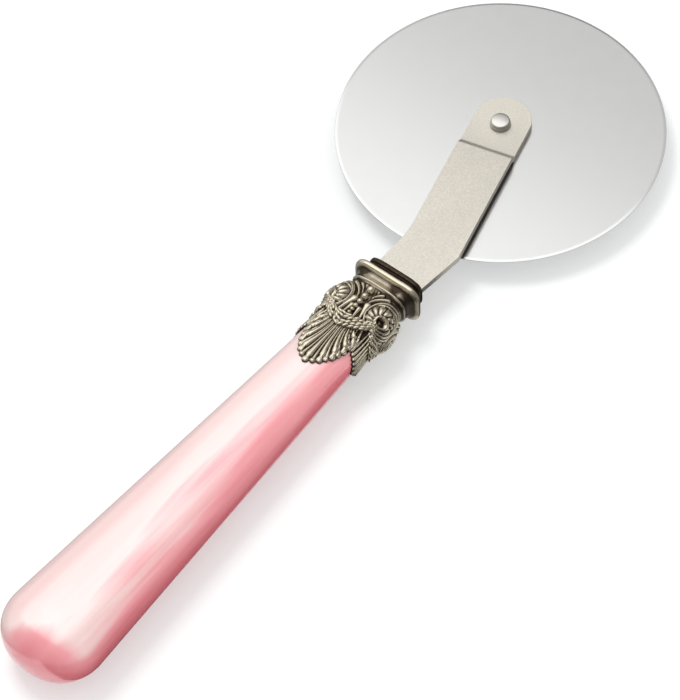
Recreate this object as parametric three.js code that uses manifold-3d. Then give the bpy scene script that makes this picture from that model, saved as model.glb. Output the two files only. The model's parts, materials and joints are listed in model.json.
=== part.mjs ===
// Pizza cutter: a round blade riveted to a cranked flat arm, an ornamental cast bolster
// and a flattened oval resin handle. Lengths in millimetres, angles in degrees, +Z up.
// The handle lies along X with its butt at -X; the blade lies flat, parallel to XY.
import * as THREE from 'three';
import Module from 'manifold-3d';
import { mergeVertices } from 'three/addons/utils/BufferGeometryUtils.js';

const wasm = await Module();
wasm.setup();

// Blade
const wheelDiameter = 90;
const wheelThickness = 1;
const bevelWidth = 1.4;
const edgeThickness = 0.25;

// Arm
const armWidth = 15.7;
const armThickness = 2;
const mouthWidth = 14.6;
const stubLength = 14.3;
const stubShift = -0.8;
const crankAngle = 14.4;
const crankBeyondRim = 0.6;
const crankFilletRadius = 30;
const joggleDistance = 11.2;
const joggleRun = 2.7;
const joggleDrop = 1.4;
const tipReach = 1.7;
const tangLength = 66;
const tangWidth = 8;
const tangEndWidth = 6;
const tangStep = 0.25;

// Rivet and washer
const shankDiameter = 4;
const headDiameter = 5.8;
const headTopDiameter = 5;
const headHeight = 1.9;
const headCrown = 0.25;
const rearHeadDiameter = 8;
const rearHeadThickness = 1.1;
const washerDiameter = 10;
const washerThickness = 0.5;

// Handle
const handleReach = 148.5;
const buttWidth = 28.2;
const buttHeight = 20;
const buttRoundLength = 13.2;
const buttSquareness = 2.2;
const frontWidth = 18.8;
const frontHeight = 13.2;
const ovalSquareness = 2.3;
const spigotFront = 11;
const cementWall = 0.8;
const cementBehindTang = 3;

// Bolster
const neckWidth = 16.6;
const neckHeight = 10.8;
const neckHollow = 0.5;
const frontNarrowing = 0.6;
const frontDrop = 1.5;
const frontSquareness = 4.2;
const lipProud = 0.8;
const lipThickness = 1.2;
const lipChamfer = 0.25;
const coveLength = 1.9;
const collarProud = 1.2;
const collarThickness = 1.8;
const collarEndProud = 1.1;
const neckLength = 2.6;
const ringProud = 0.5;
const ringThickness = 0.8;
const bodyProud = 1.2;
const bolsterWall = 1.3;
const leafValley = 28;
const mainLeafReach = 11;
const sideLeafReach = 3;
const mainLeafAngle = 43;
const leafThickness = 0.7;
const leafFullness = 0.6;
const mainLeafLobes = 7;
const sideLeafLobes = 5;
const lobeDepth = 0.7;
const voluteDistance = 15.4;
const voluteAngle = 42;
const voluteRadius = 4.8;
const voluteTurns = 1.75;
const scrollRadius = 0.65;
const drumHeight = 0.2;
const drumDepth = 3.6;
const garlandSetback = 6.4;
const garlandSag = 2.4;
const garlandWidth = 2.6;
const garlandProud = 0.6;

// Clearances
const fitGap = 0.3;
const runningGap = 0.15;
const axleClearance = 0.2;
const cutOvershoot = 1;

// Facets
const ovalSides = 96;
const handleSides = 48;
const roundSides = 96;
const smallSides = 32;

const radians = THREE.MathUtils.degToRad;
const { clamp, lerp, smoothstep } = THREE.MathUtils;

// The crank is a mitred turn of the strap's centre line, just outside the blade's rim.
// The bolster's front face is the plane x = 0 and the handle's axis is the line y = z = 0.
const crank = new THREE.Vector2(stubLength, stubShift);
const stubHeading = Math.atan2(stubShift, stubLength);
const armHeading = radians(crankAngle);
const armDirection = new THREE.Vector2(Math.cos(armHeading), Math.sin(armHeading));
const crankReach = wheelDiameter / 2 + crankBeyondRim;
const hub = crank.clone().addScaledVector(armDirection, crankReach);

// Levels of the stack on the rivet, from the pad down to the rear head
const padTop = armThickness / 2 - joggleDrop;
const padBottom = padTop - armThickness;
const wheelTop = padBottom - runningGap;
const wheelBottom = wheelTop - wheelThickness;
const washerTop = wheelBottom - runningGap;
const washerBottom = washerTop - washerThickness;
const rearHeadTop = washerBottom - runningGap;

// The bolster's front steps back from the lip through a cove to the collar, the neck and a ring.
const collarStart = lipThickness + coveLength;
const neckStart = collarStart + collarThickness;
const ringStart = neckStart + neckLength;
const ringBack = ringStart + ringThickness;

// The bolster's body runs from the ring to the front of the garland, and the leaves reach
// back from the valleys between them. The handle's spigot fills the body inside its wall.
const garlandDistance = leafValley - garlandSetback;
const bodyEnd = garlandDistance - garlandSag / 2 - garlandWidth / 2 - fitGap;
const leafTip = leafValley + mainLeafReach;
const spigotEnd = leafValley - lobeDepth - fitGap;
const spigotInset = bolsterWall + fitGap - ringProud;

// Levels of the slot that takes the tang
const tangThickness = armThickness - 2 * tangStep;
const slotEnd = tangLength + fitGap + cementBehindTang + fitGap;
const slotWidth = tangWidth + 2 * (fitGap + cementWall + fitGap);
const slotHeight = tangThickness + 2 * (fitGap + cementWall + fitGap);

function toSolid(geometry) {
  const bare = geometry.index ? geometry.toNonIndexed() : geometry.clone();
  bare.deleteAttribute('normal');
  bare.deleteAttribute('uv');
  const merged = mergeVertices(bare, 1e-5);
  const solid = new wasm.Mesh({
    numProp: 3,
    vertProperties: new Float32Array(merged.attributes.position.array),
    triVerts: new Uint32Array(merged.index.array),
  });
  return new wasm.Manifold(solid);
}

function toGeometry(solid) {
  const mesh = solid.getMesh();
  const geometry = new THREE.BufferGeometry();
  geometry.setAttribute('position', new THREE.BufferAttribute(mesh.vertProperties, 3));
  geometry.setIndex(new THREE.BufferAttribute(mesh.triVerts, 1));
  const facets = geometry.toNonIndexed();
  facets.computeVertexNormals();
  return facets;
}

// A closed skin through rings of equal point counts, with a flat or domed fan at each end.
// The rings turn from +Y to +Z and follow one another towards -X.
function loft(rings, startApex, endApex) {
  const count = rings[0].length;
  const points = [...rings.flat(), startApex, endApex];
  const first = points.length - 2;
  const last = points.length - 1;
  const index = [];
  for (let side = 0; side < count; side += 1) {
    const next = (side + 1) % count;
    index.push(first, side, next);
    for (let ring = 0; ring + 1 < rings.length; ring += 1) {
      const near = ring * count;
      const far = near + count;
      index.push(near + side, far + side, far + next);
      index.push(near + side, far + next, near + next);
    }
    const end = (rings.length - 1) * count;
    index.push(last, end + next, end + side);
  }
  const geometry = new THREE.BufferGeometry();
  geometry.setFromPoints(points);
  geometry.setIndex(index);
  return geometry;
}

// One point of a squared oval: the angle runs from +Y through +Z.
function ovalPoint(distance, halfWidth, halfHeight, angle, squareness = ovalSquareness) {
  const across = Math.cos(angle);
  const up = Math.sin(angle);
  const power = 2 / squareness;
  return new THREE.Vector3(
    -distance,
    halfWidth * Math.sign(across) * Math.abs(across) ** power,
    halfHeight * Math.sign(up) * Math.abs(up) ** power,
  );
}

function ovalRing(sides, pointAt) {
  return Array.from({ length: sides }, (_, side) => pointAt((side * 2 * Math.PI) / sides));
}

// Half sizes of the handle at a distance behind the bolster's front face, on its straight taper
function handleHalf(distance) {
  const share = (distance - leafTip) / (handleReach - buttRoundLength - leafTip);
  return {
    width: lerp(frontWidth, buttWidth, share) / 2,
    height: lerp(frontHeight, buttHeight, share) / 2,
  };
}

function handlePoint(distance, grow, angle) {
  const half = handleHalf(distance);
  return ovalPoint(distance, half.width + grow, half.height + grow, angle);
}

function boxAlong(start, end, width, height) {
  const box = new THREE.BoxGeometry(end - start, width, height);
  return toSolid(box.translate(-(start + end) / 2, 0, 0));
}

function revolve(profile, sides) {
  const points = profile.map(([radius, height]) => new THREE.Vector2(radius, height));
  const turned = new THREE.LatheGeometry(points, sides);
  return toSolid(turned.rotateX(Math.PI / 2));
}

// A point of the bolster's front, or of the spigot inside it, measured from the neck. The front
// is squared and flat, it is lowest at the lip, and the ends of its collar roll over at the sides.
function neckPoint(distance, proud, angle) {
  const fall = 1 - smoothstep(distance, lipThickness, collarStart);
  const roll = clamp((distance - lipThickness) / (ringStart - lipThickness), 0, 1);
  const endProud = collarEndProud * Math.sin(roll * Math.PI);
  const halfWidth = neckWidth / 2 - frontNarrowing * fall + endProud + proud;
  const halfHeight = neckHeight / 2 - frontDrop * fall + proud;
  const easing = smoothstep(distance, neckStart, ringBack);
  return ovalPoint(distance, halfWidth, halfHeight, angle, lerp(frontSquareness, ovalSquareness, easing));
}

function makeHandle() {
  const belly = handleReach - buttRoundLength;
  const taperSteps = 6;
  const roundSteps = 14;
  const spigot = (distance) => ovalRing(handleSides, (angle) => neckPoint(distance, -spigotInset, angle));
  const taper = (distance) => ovalRing(handleSides, (angle) => handlePoint(distance, 0, angle));
  const rings = [spigot(spigotFront), spigot(spigotEnd)];
  for (let index = 0; index <= taperSteps; index += 1) {
    rings.push(taper(lerp(spigotEnd, belly, index / taperSteps)));
  }
  for (let index = 1; index < roundSteps; index += 1) {
    const reach = Math.sin((index / roundSteps) * (Math.PI / 2));
    const shrink = (1 - reach ** buttSquareness) ** (1 / buttSquareness) / 2;
    const distance = belly + buttRoundLength * reach;
    rings.push(ovalRing(handleSides, (angle) => (
      ovalPoint(distance, buttWidth * shrink, buttHeight * shrink, angle)
    )));
  }
  const front = new THREE.Vector3(-spigotFront, 0, 0);
  const butt = new THREE.Vector3(-handleReach, 0, 0);
  const slot = boxAlong(spigotFront - cutOvershoot, slotEnd, slotWidth, slotHeight);
  return toSolid(loft(rings, front, butt)).subtract(slot);
}

function makeCement() {
  const fill = boxAlong(spigotFront, slotEnd - fitGap, slotWidth - 2 * fitGap, slotHeight - 2 * fitGap);
  const tangRoom = boxAlong(
    spigotFront - cutOvershoot,
    tangLength + fitGap,
    tangWidth + 2 * fitGap,
    tangThickness + 2 * fitGap,
  );
  return fill.subtract(tangRoom);
}

// The outline of the bolster's front and body: how far each place stands out from the neck
function bolsterProfile() {
  const coveMiddle = lipThickness + coveLength / 2;
  const collarMiddle = collarStart + collarThickness / 2;
  const neckMiddle = neckStart + neckLength / 2;
  const ringMiddle = ringStart + ringThickness / 2;
  const swellMiddle = lerp(ringBack, bodyEnd, 0.4);
  const profile = new THREE.Path();
  profile.moveTo(0, lipProud - lipChamfer);
  profile.lineTo(lipChamfer, lipProud);
  profile.lineTo(lipThickness, lipProud);
  profile.lineTo(lipThickness, 0);
  profile.lineTo(coveMiddle, 0);
  profile.lineTo(collarStart, 0);
  profile.quadraticCurveTo(collarStart, collarProud, collarMiddle, collarProud);
  profile.quadraticCurveTo(neckStart, collarProud, neckStart, 0);
  profile.quadraticCurveTo(neckStart, -neckHollow, neckMiddle, -neckHollow);
  profile.quadraticCurveTo(ringStart, -neckHollow, ringStart, 0);
  profile.quadraticCurveTo(ringStart, ringProud, ringMiddle, ringProud);
  profile.lineTo(ringBack, ringProud);
  profile.quadraticCurveTo(swellMiddle, bodyProud, bodyEnd, bodyProud);
  return profile.getPoints(2);
}

// Distance of the leaf skirt's lobed edge behind the front face. A long leaf lies on the
// top and on the underside, and a short one on each side.
function skirtEdge(angle) {
  const fromSide = Math.abs(((THREE.MathUtils.radToDeg(angle) + 90) % 180) - 90);
  const fromTop = 90 - fromSide;
  const onMainLeaf = fromTop < mainLeafAngle;
  const share = onMainLeaf ? fromTop / mainLeafAngle : fromSide / (90 - mainLeafAngle);
  const reach = onMainLeaf ? mainLeafReach : sideLeafReach;
  const lobes = onMainLeaf ? mainLeafLobes : sideLeafLobes;
  const body = reach * Math.max(Math.cos((share * Math.PI) / 2), 0) ** leafFullness;
  const scallop = lobeDepth * (1 - Math.abs(Math.cos((share * lobes * Math.PI) / 2)));
  return leafValley + body - scallop * (1 - share);
}

// Where a volute sits on the body, the way it faces and its direction about the body
function voluteFrame() {
  const lean = radians(90 - voluteAngle);
  const seat = neckPoint(voluteDistance, bodyProud, lean);
  const width = neckWidth / 2 + bodyProud;
  const height = neckHeight / 2 + bodyProud;
  const normal = new THREE.Vector3(0, seat.y / width ** 2, seat.z / height ** 2).normalize();
  const around = new THREE.Vector3(0, -normal.z, normal.y);
  return { seat, normal, around };
}

// A drum with a round scroll wound on its face. The two signs put it on either side of the
// bolster, and on the top or the underside.
function makeVolute(side, upper) {
  const { seat, normal, around } = voluteFrame();
  const place = (radius, turn, lift) => {
    const point = seat.clone().addScaledVector(normal, lift);
    point.x += radius * Math.cos(turn);
    point.addScaledVector(around, radius * Math.sin(turn));
    return point.multiply(new THREE.Vector3(1, side, upper));
  };
  const steps = 24;
  const path = Array.from({ length: steps + 1 }, (_, index) => {
    const share = index / steps;
    const radius = lerp(voluteRadius - scrollRadius, 2 * scrollRadius, share);
    return place(radius, share * voluteTurns * 2 * Math.PI, drumHeight);
  });
  const section = new THREE.Shape().absarc(0, 0, scrollRadius, 0, 2 * Math.PI);
  const scroll = new THREE.ExtrudeGeometry(section, {
    steps,
    curveSegments: 3,
    extrudePath: new THREE.CatmullRomCurve3(path),
  });
  const drum = new THREE.CylinderGeometry(voluteRadius - scrollRadius, voluteRadius, drumDepth, smallSides);
  const outward = normal.clone().multiply(new THREE.Vector3(1, side, upper));
  const centre = place(0, 0, drumHeight - drumDepth / 2);
  drum.applyQuaternion(new THREE.Quaternion().setFromUnitVectors(new THREE.Vector3(0, 1, 0), outward));
  drum.translate(centre.x, centre.y, centre.z);
  return toSolid(drum).add(toSolid(scroll));
}

// Distance of the garland's middle line: a swag over the top and the underside and on each side
function garlandLine(angle) {
  return garlandDistance + (garlandSag / 2) * Math.cos(4 * angle);
}

// The garland as a round bead that runs about the casting
function garlandRings(steps) {
  const leafProud = fitGap + leafThickness;
  return Array.from({ length: steps + 1 }, (_, index) => {
    const turn = (index / steps) * Math.PI;
    const along = (-garlandWidth / 2) * Math.cos(turn);
    const proud = leafProud + garlandProud * Math.sin(turn);
    return ovalRing(ovalSides, (angle) => handlePoint(garlandLine(angle) + along, proud, angle));
  });
}

// Room for the handle's spigot and taper, which the casting is hollowed out to clear
function handleRoom() {
  const start = spigotFront - fitGap;
  const step = spigotEnd - fitGap;
  const end = leafTip + fitGap;
  const inset = spigotInset - fitGap;
  const spigot = (distance) => ovalRing(ovalSides, (angle) => neckPoint(distance, -inset, angle));
  const taper = (distance) => ovalRing(ovalSides, (angle) => handlePoint(distance, fitGap, angle));
  const rings = [spigot(start), spigot(step), taper(step), taper(end)];
  const front = new THREE.Vector3(-start, 0, 0);
  const back = new THREE.Vector3(-end, 0, 0);
  return toSolid(loft(rings, front, back));
}

function makeBolster() {
  const rings = bolsterProfile().map(({ x: distance, y: proud }) => (
    ovalRing(ovalSides, (angle) => neckPoint(distance, proud, angle))
  ));
  const leafProud = fitGap + leafThickness;
  rings.push(...garlandRings(4));
  rings.push(ovalRing(ovalSides, (angle) => handlePoint(skirtEdge(angle), leafProud, angle)));
  rings.push(ovalRing(ovalSides, (angle) => handlePoint(skirtEdge(angle), 0, angle)));
  const front = new THREE.Vector3(0, 0, 0);
  const back = new THREE.Vector3(-leafValley, 0, 0);
  let casting = toSolid(loft(rings, front, back));
  for (const side of [-1, 1]) {
    for (const upper of [-1, 1]) {
      casting = casting.add(makeVolute(side, upper));
    }
  }
  const slot = boxAlong(
    -cutOvershoot,
    spigotFront + cutOvershoot,
    tangWidth + 2 * fitGap,
    tangThickness + 2 * fitGap,
  );
  return casting.subtract(handleRoom()).subtract(slot);
}

// Outline of the strap seen from above, from the bolster round the pad and back
function armOutline() {
  const halfTurn = (armHeading - stubHeading) / 2;
  const mitre = armWidth / 2 / Math.cos(halfTurn);
  const bisector = (armHeading + stubHeading) / 2 + Math.PI / 2;
  const toLeft = new THREE.Vector2(Math.cos(bisector), Math.sin(bisector)).multiplyScalar(mitre);
  const leftCorner = crank.clone().add(toLeft);
  const rightCorner = crank.clone().sub(toLeft);
  const mouthLeft = new THREE.Vector2(fitGap, mouthWidth / 2);
  const filletLength = Math.min(crankFilletRadius * Math.tan(halfTurn), stubLength / 2);
  const towardsMouth = mouthLeft.clone().sub(leftCorner).setLength(filletLength);
  const filletStart = leftCorner.clone().addScaledVector(armDirection, filletLength);
  const filletEnd = leftCorner.clone().add(towardsMouth);
  const tip = hub.clone().addScaledVector(armDirection, tipReach);
  const quarter = Math.PI / 2;
  const outline = new THREE.Shape();
  outline.moveTo(fitGap, -mouthWidth / 2);
  outline.lineTo(rightCorner.x, rightCorner.y);
  outline.absarc(tip.x, tip.y, armWidth / 2, armHeading - quarter, armHeading + quarter, false);
  outline.lineTo(filletStart.x, filletStart.y);
  outline.quadraticCurveTo(leftCorner.x, leftCorner.y, filletEnd.x, filletEnd.y);
  outline.lineTo(mouthLeft.x, mouthLeft.y);
  return outline;
}

// The strap's edge view along the arm: level, then a smooth drop to the pad
function joggleSheet() {
  const behind = -(crankReach + stubLength + armWidth);
  const ahead = tipReach + armWidth;
  const start = -joggleDistance;
  const middle = start + joggleRun / 2;
  const end = start + joggleRun;
  const top = armThickness / 2;
  const outline = new THREE.Shape();
  outline.moveTo(behind, -top);
  outline.lineTo(start, -top);
  outline.bezierCurveTo(middle, -top, middle, padBottom, end, padBottom);
  outline.lineTo(ahead, padBottom);
  outline.lineTo(ahead, padTop);
  outline.lineTo(end, padTop);
  outline.bezierCurveTo(middle, padTop, middle, top, start, top);
  outline.lineTo(behind, top);
  const width = 2 * (armWidth + stubLength);
  const sheet = new THREE.ExtrudeGeometry(outline, { depth: width, bevelEnabled: false, curveSegments: 8 });
  sheet.translate(0, 0, -width / 2);
  const along = new THREE.Vector3(armDirection.x, armDirection.y, 0);
  const up = new THREE.Vector3(0, 0, 1);
  const across = new THREE.Vector3().crossVectors(along, up);
  sheet.applyMatrix4(new THREE.Matrix4().makeBasis(along, up, across));
  return toSolid(sheet.translate(hub.x, hub.y, 0));
}

function makeArm() {
  const blankDepth = 2 * (armThickness + joggleDrop);
  const blank = new THREE.ExtrudeGeometry(armOutline(), {
    depth: blankDepth,
    bevelEnabled: false,
    curveSegments: smallSides,
  });
  const strap = toSolid(blank.translate(0, 0, -blankDepth / 2)).intersect(joggleSheet());
  const root = stubLength / 2;
  const outline = new THREE.Shape();
  outline.moveTo(root, -tangWidth / 2);
  outline.lineTo(root, tangWidth / 2);
  outline.lineTo(-tangLength / 2, tangWidth / 2);
  outline.lineTo(-tangLength, tangEndWidth / 2);
  outline.lineTo(-tangLength, -tangEndWidth / 2);
  outline.lineTo(-tangLength / 2, -tangWidth / 2);
  const tang = new THREE.ExtrudeGeometry(outline, { depth: tangThickness, bevelEnabled: false });
  const holeRadius = shankDiameter / 2 + axleClearance;
  const hole = revolve([
    [0, padBottom - cutOvershoot],
    [holeRadius, padBottom - cutOvershoot],
    [holeRadius, padTop + cutOvershoot],
    [0, padTop + cutOvershoot],
  ], smallSides);
  const stem = toSolid(tang.translate(0, 0, -tangThickness / 2));
  return strap.add(stem).subtract(hole.translate([hub.x, hub.y, 0]));
}

function makeWheel() {
  const rim = wheelDiameter / 2;
  const flat = rim - bevelWidth;
  const bore = shankDiameter / 2 + axleClearance;
  const middle = (wheelTop + wheelBottom) / 2;
  return revolve([
    [bore, wheelBottom],
    [flat, wheelBottom],
    [rim, middle - edgeThickness / 2],
    [rim, middle + edgeThickness / 2],
    [flat, wheelTop],
    [bore, wheelTop],
    [bore, wheelBottom],
  ], roundSides);
}

function makeRivet() {
  const shank = shankDiameter / 2;
  const headBottom = padTop + runningGap;
  const headTop = headBottom + headHeight;
  const rearHeadBottom = rearHeadTop - rearHeadThickness;
  const rearRim = rearHeadDiameter / 2;
  return revolve([
    [0, rearHeadBottom],
    [rearRim - rearHeadThickness / 2, rearHeadBottom],
    [rearRim, rearHeadBottom + rearHeadThickness / 2],
    [rearRim, rearHeadTop],
    [shank, rearHeadTop],
    [shank, headBottom],
    [headDiameter / 2, headBottom],
    [headTopDiameter / 2, headTop - headCrown],
    [headTopDiameter / 4, headTop - headCrown / 4],
    [0, headTop],
  ], smallSides);
}

function makeWasher() {
  const bore = shankDiameter / 2 + axleClearance;
  const rim = washerDiameter / 2;
  return revolve([
    [bore, washerBottom],
    [rim, washerBottom],
    [rim, washerTop],
    [bore, washerTop],
    [bore, washerBottom],
  ], smallSides);
}

const pearlResin = { color: 0xe9a9b1, roughness: 0.22, metalness: 0 };
const antiqueMetal = { color: 0x9b927b, roughness: 0.4, metalness: 0.9 };
const satinSteel = { color: 0xd6d3c9, roughness: 0.5, metalness: 0.85 };
const setResin = { color: 0xd9d2bd, roughness: 0.7, metalness: 0 };
const polishedSteel = { color: 0xe0e1e3, roughness: 0.15, metalness: 1 };
const rivetSteel = { color: 0xd9d8d4, roughness: 0.25, metalness: 1 };
const washerSteel = { color: 0xc9c9c6, roughness: 0.35, metalness: 1 };

const cutter = new THREE.Group();

function addPiece(name, solid, look, x = 0, y = 0) {
  const mesh = new THREE.Mesh(toGeometry(solid), new THREE.MeshStandardMaterial(look));
  mesh.name = name;
  mesh.position.set(x, y, 0);
  cutter.add(mesh);
}

addPiece('handle', makeHandle(), pearlResin);
addPiece('bolster', makeBolster(), antiqueMetal);
addPiece('wheel_arm', makeArm(), satinSteel);
addPiece('tang_cement', makeCement(), setResin);
addPiece('cutting_wheel', makeWheel(), polishedSteel, hub.x, hub.y);
addPiece('axle_rivet', makeRivet(), rivetSteel, hub.x, hub.y);
addPiece('back_washer', makeWasher(), washerSteel, hub.x, hub.y);

// The origin is the middle of the cutter's box, at its lowest point, where it lies on a table.
const extent = new THREE.Box3().setFromObject(cutter);
const middle = extent.getCenter(new THREE.Vector3());
cutter.position.set(-middle.x, -middle.y, -extent.min.z);

export default cutter;
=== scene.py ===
"""Pizza cutter: its finished pieces, built over the CAD frame.

Pieces are in metres and in the frame's own axes: +X from the butt to the wheel, +Z up.
The bolster's ornament is laid out flat, in millimetres behind the front face and in millimetres
round the girth from the top, and is then wrapped on the oval casting.
"""
import json
import math
from functools import partial

import bmesh
import bpy
import numpy as np
from bpy.props import FloatProperty, FloatVectorProperty, IntProperty, PointerProperty
from bpy.types import Operator, Panel, PropertyGroup
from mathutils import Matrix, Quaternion, Vector


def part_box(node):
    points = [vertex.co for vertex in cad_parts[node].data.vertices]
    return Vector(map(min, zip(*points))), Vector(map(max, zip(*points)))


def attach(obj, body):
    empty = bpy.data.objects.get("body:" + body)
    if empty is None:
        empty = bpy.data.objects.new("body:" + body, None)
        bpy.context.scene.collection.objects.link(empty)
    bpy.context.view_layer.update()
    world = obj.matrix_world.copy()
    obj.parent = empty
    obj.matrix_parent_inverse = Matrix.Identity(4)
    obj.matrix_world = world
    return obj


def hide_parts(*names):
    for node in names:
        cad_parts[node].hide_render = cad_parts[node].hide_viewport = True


bl_info = {
    "name": "Pizza Cutter",
    "version": (1, 0, 0),
    "blender": (4, 5, 0),
    "location": "View3D > Sidebar > Cutter",
    "description": "Builds the pearl handle, cast bolster, arm and wheel of a pizza cutter",
    "category": "Add Mesh",
}

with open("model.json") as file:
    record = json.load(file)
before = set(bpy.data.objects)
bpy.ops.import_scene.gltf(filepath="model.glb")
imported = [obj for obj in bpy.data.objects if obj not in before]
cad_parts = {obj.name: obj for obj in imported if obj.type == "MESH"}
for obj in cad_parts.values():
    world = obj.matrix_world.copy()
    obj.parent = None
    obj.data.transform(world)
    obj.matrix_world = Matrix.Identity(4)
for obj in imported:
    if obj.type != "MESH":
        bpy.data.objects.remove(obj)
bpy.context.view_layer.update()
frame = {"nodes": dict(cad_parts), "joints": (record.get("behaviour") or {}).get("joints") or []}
handle_low, handle_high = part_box("handle")
wheel_low, wheel_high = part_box("cutting_wheel")
rivet_low, rivet_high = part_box("axle_rivet")
washer_low, washer_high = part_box("back_washer")
hub = Vector(frame["joints"][0]["pos_m"])

MM = 0.001
SEAM_GAP = 1e-6
DOUBLE_GAP = 1e-7
SLIVER_EDGE = 1e-8
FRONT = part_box("bolster")[1].x
AXIS_Y = (handle_low.y + handle_high.y) / 2
AXIS_Z = (handle_low.z + handle_high.z) / 2
HANDLE_REACH = (FRONT - handle_low.x) / MM


def to_linear(hex_colour):
    """Linear red, green and blue of an sRGB hex colour."""
    parts = [int(hex_colour[place:place + 2], 16) / 255 for place in (0, 2, 4)]
    return tuple(part / 12.92 if part <= 0.04045 else ((part + 0.055) / 1.055) ** 2.4 for part in parts)


class HandleSizes(PropertyGroup):
    """The pearl handle: a squared oval that swells to a round butt"""

    front_width: FloatProperty(
        name="Front width", description="Across the handle at the tip of the long leaf",
        default=18.8 * MM, unit="LENGTH")
    front_height: FloatProperty(
        name="Front height", description="Through the handle at the tip of the long leaf",
        default=13.2 * MM, unit="LENGTH")
    butt_width: FloatProperty(
        name="Butt width", description="Across the handle where the butt starts to round",
        default=handle_high.y - handle_low.y, unit="LENGTH")
    butt_height: FloatProperty(
        name="Butt height", description="Through the handle where the butt starts to round",
        default=handle_high.z - handle_low.z, unit="LENGTH")
    butt_round: FloatProperty(
        name="Butt round", description="Length of the rounded butt", default=13.2 * MM, unit="LENGTH")
    butt_squareness: FloatProperty(
        name="Butt squareness", description="Power of the butt's outline; 2 is an ellipse", default=2.2)
    # The pale tone is also painted over the top and left of the handle as a painted highlight, and the deep
    # tone over its right flank as painted shade.
    pearl_pale_and_highlight: FloatVectorProperty(
        name="Pale pearl", description="Palest cloud of the resin", subtype="COLOR",
        default=to_linear("F3D7D3"))
    pearl_pink: FloatVectorProperty(
        name="Pink pearl", description="Body colour of the resin", subtype="COLOR",
        default=to_linear("F4A0A5"))
    pearl_deep_and_shade: FloatVectorProperty(
        name="Deep pearl", description="Darkest streak of the resin", subtype="COLOR",
        default=to_linear("E67C85"))


class BolsterSizes(PropertyGroup):
    """The cast bolster and its ornament"""

    neck_width: FloatProperty(
        name="Neck width", description="Across the hollow neck", default=16.0 * MM, unit="LENGTH")
    neck_height: FloatProperty(
        name="Neck height", description="Through the hollow neck", default=10.8 * MM, unit="LENGTH")
    leaf_tip: FloatProperty(
        name="Leaf tip", description="Distance of the long leaf's tip behind the front face",
        default=39.0 * MM, unit="LENGTH")
    volute_radius: FloatProperty(
        name="Volute radius", description="Radius of a volute's outer coil", default=5.9 * MM, unit="LENGTH")
    first_bead: FloatProperty(
        name="First bead", description="Diameter of the bead next to the ring", default=2.5 * MM,
        unit="LENGTH")
    bead_count: IntProperty(name="Beads", description="Beads in one row", default=8, min=1)
    garland_leaf: FloatProperty(
        name="Garland leaf", description="Length of one leaf of the garland", default=2.2 * MM,
        unit="LENGTH")
    bright: FloatVectorProperty(
        name="Rubbed metal", description="Metal where the ornament is rubbed bright", subtype="COLOR",
        default=to_linear("C6BCA8"))
    # The patina colour also serves the painted shade round the collar's neck and side.
    patina: FloatVectorProperty(
        name="Patina", description="Dark patina in the recesses", subtype="COLOR",
        default=to_linear("3D342B"))


class SteelSizes(PropertyGroup):
    """The steel wheel, arm and rivet"""

    bevel_width: FloatProperty(
        name="Bevel width", description="Width of the wheel's ground edge on the underside",
        default=1.4 * MM, unit="LENGTH")
    top_bevel_width: FloatProperty(
        name="Top bevel width", description="Width of the slight bevel on the wheel's upper side",
        default=0.7 * MM, unit="LENGTH")
    top_bevel_drop: FloatProperty(
        name="Top bevel drop", description="How far the rim lies below the wheel's upper side",
        default=0.13 * MM, unit="LENGTH")
    edge_thickness: FloatProperty(
        name="Edge thickness", description="Thickness left at the rim", default=0.25 * MM, unit="LENGTH")
    arm_round: FloatProperty(
        name="Arm edge", description="Radius of the arm's tumbled edges", default=0.25 * MM,
        unit="LENGTH")
    satin: FloatVectorProperty(
        name="Satin steel", description="Blasted steel of the arm", subtype="COLOR",
        default=to_linear("C8C3B9"))
    polished: FloatVectorProperty(
        name="Polished steel", description="Mirror steel of the wheel", subtype="COLOR",
        default=to_linear("BDBDBC"))


class StageSettings(PropertyGroup):
    """The camera"""

    azimuth: FloatProperty(
        name="Azimuth", description="Camera's turn about the object; 0 looks along +Y",
        default=math.radians(-48.884), subtype="ANGLE")
    elevation: FloatProperty(
        name="Elevation", description="Camera's height above the horizon",
        default=math.radians(54.594), subtype="ANGLE")
    roll: FloatProperty(
        name="Roll", description="Camera's turn about its own line of sight",
        default=math.radians(-2.824), subtype="ANGLE")
    aim: FloatVectorProperty(
        name="Aim", description="Point in the middle of the picture", subtype="TRANSLATION",
        default=(-4.3 * MM, -12.8 * MM, 10.0 * MM))
    distance: FloatProperty(
        name="Distance", description="From the camera to the point it aims at", default=960.3 * MM,
        unit="LENGTH")
    lens: FloatProperty(
        name="Lens", description="Focal length on a 36 mm sensor along the picture's long side",
        default=190.29, unit="CAMERA")


# Nodes and meshes


def fill_inputs(node, feeds):
    """Fills or links a node's inputs by name or place; a node as a feed stands for its first output."""
    for place, feed in feeds.items():
        if isinstance(feed, bpy.types.Node):
            feed = feed.outputs[0]
        if isinstance(feed, bpy.types.NodeSocket):
            node.id_data.links.new(feed, node.inputs[place])
        else:
            node.inputs[place].default_value = feed


def add_node(tree, kind, feeds=None, **settings):
    """Adds one node with its settings and the feeds of its inputs."""
    node = tree.nodes.new(kind)
    for name, value in settings.items():
        setattr(node, name, value)
    fill_inputs(node, feeds or {})
    return node


def new_material(name):
    """An empty node material, what adds nodes to it, and its shader."""
    material = bpy.data.materials.new(name)
    material.use_nodes = True
    tree = material.node_tree
    return material, partial(add_node, tree), tree.nodes["Principled BSDF"]


def new_shape_tree(name, sizes):
    """A Geometry Nodes tree with an input for each size: what adds nodes to it, its inputs and its end."""
    tree = bpy.data.node_groups.new(name, "GeometryNodeTree")
    tree.interface.new_socket("Geometry", in_out="INPUT", socket_type="NodeSocketGeometry")
    tree.interface.new_socket("Geometry", in_out="OUTPUT", socket_type="NodeSocketGeometry")
    for size in sizes:
        tree.interface.new_socket(size, in_out="INPUT", socket_type="NodeSocketFloat")
    add = partial(add_node, tree)
    return add, add("NodeGroupInput").outputs, add("NodeGroupOutput")


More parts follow.
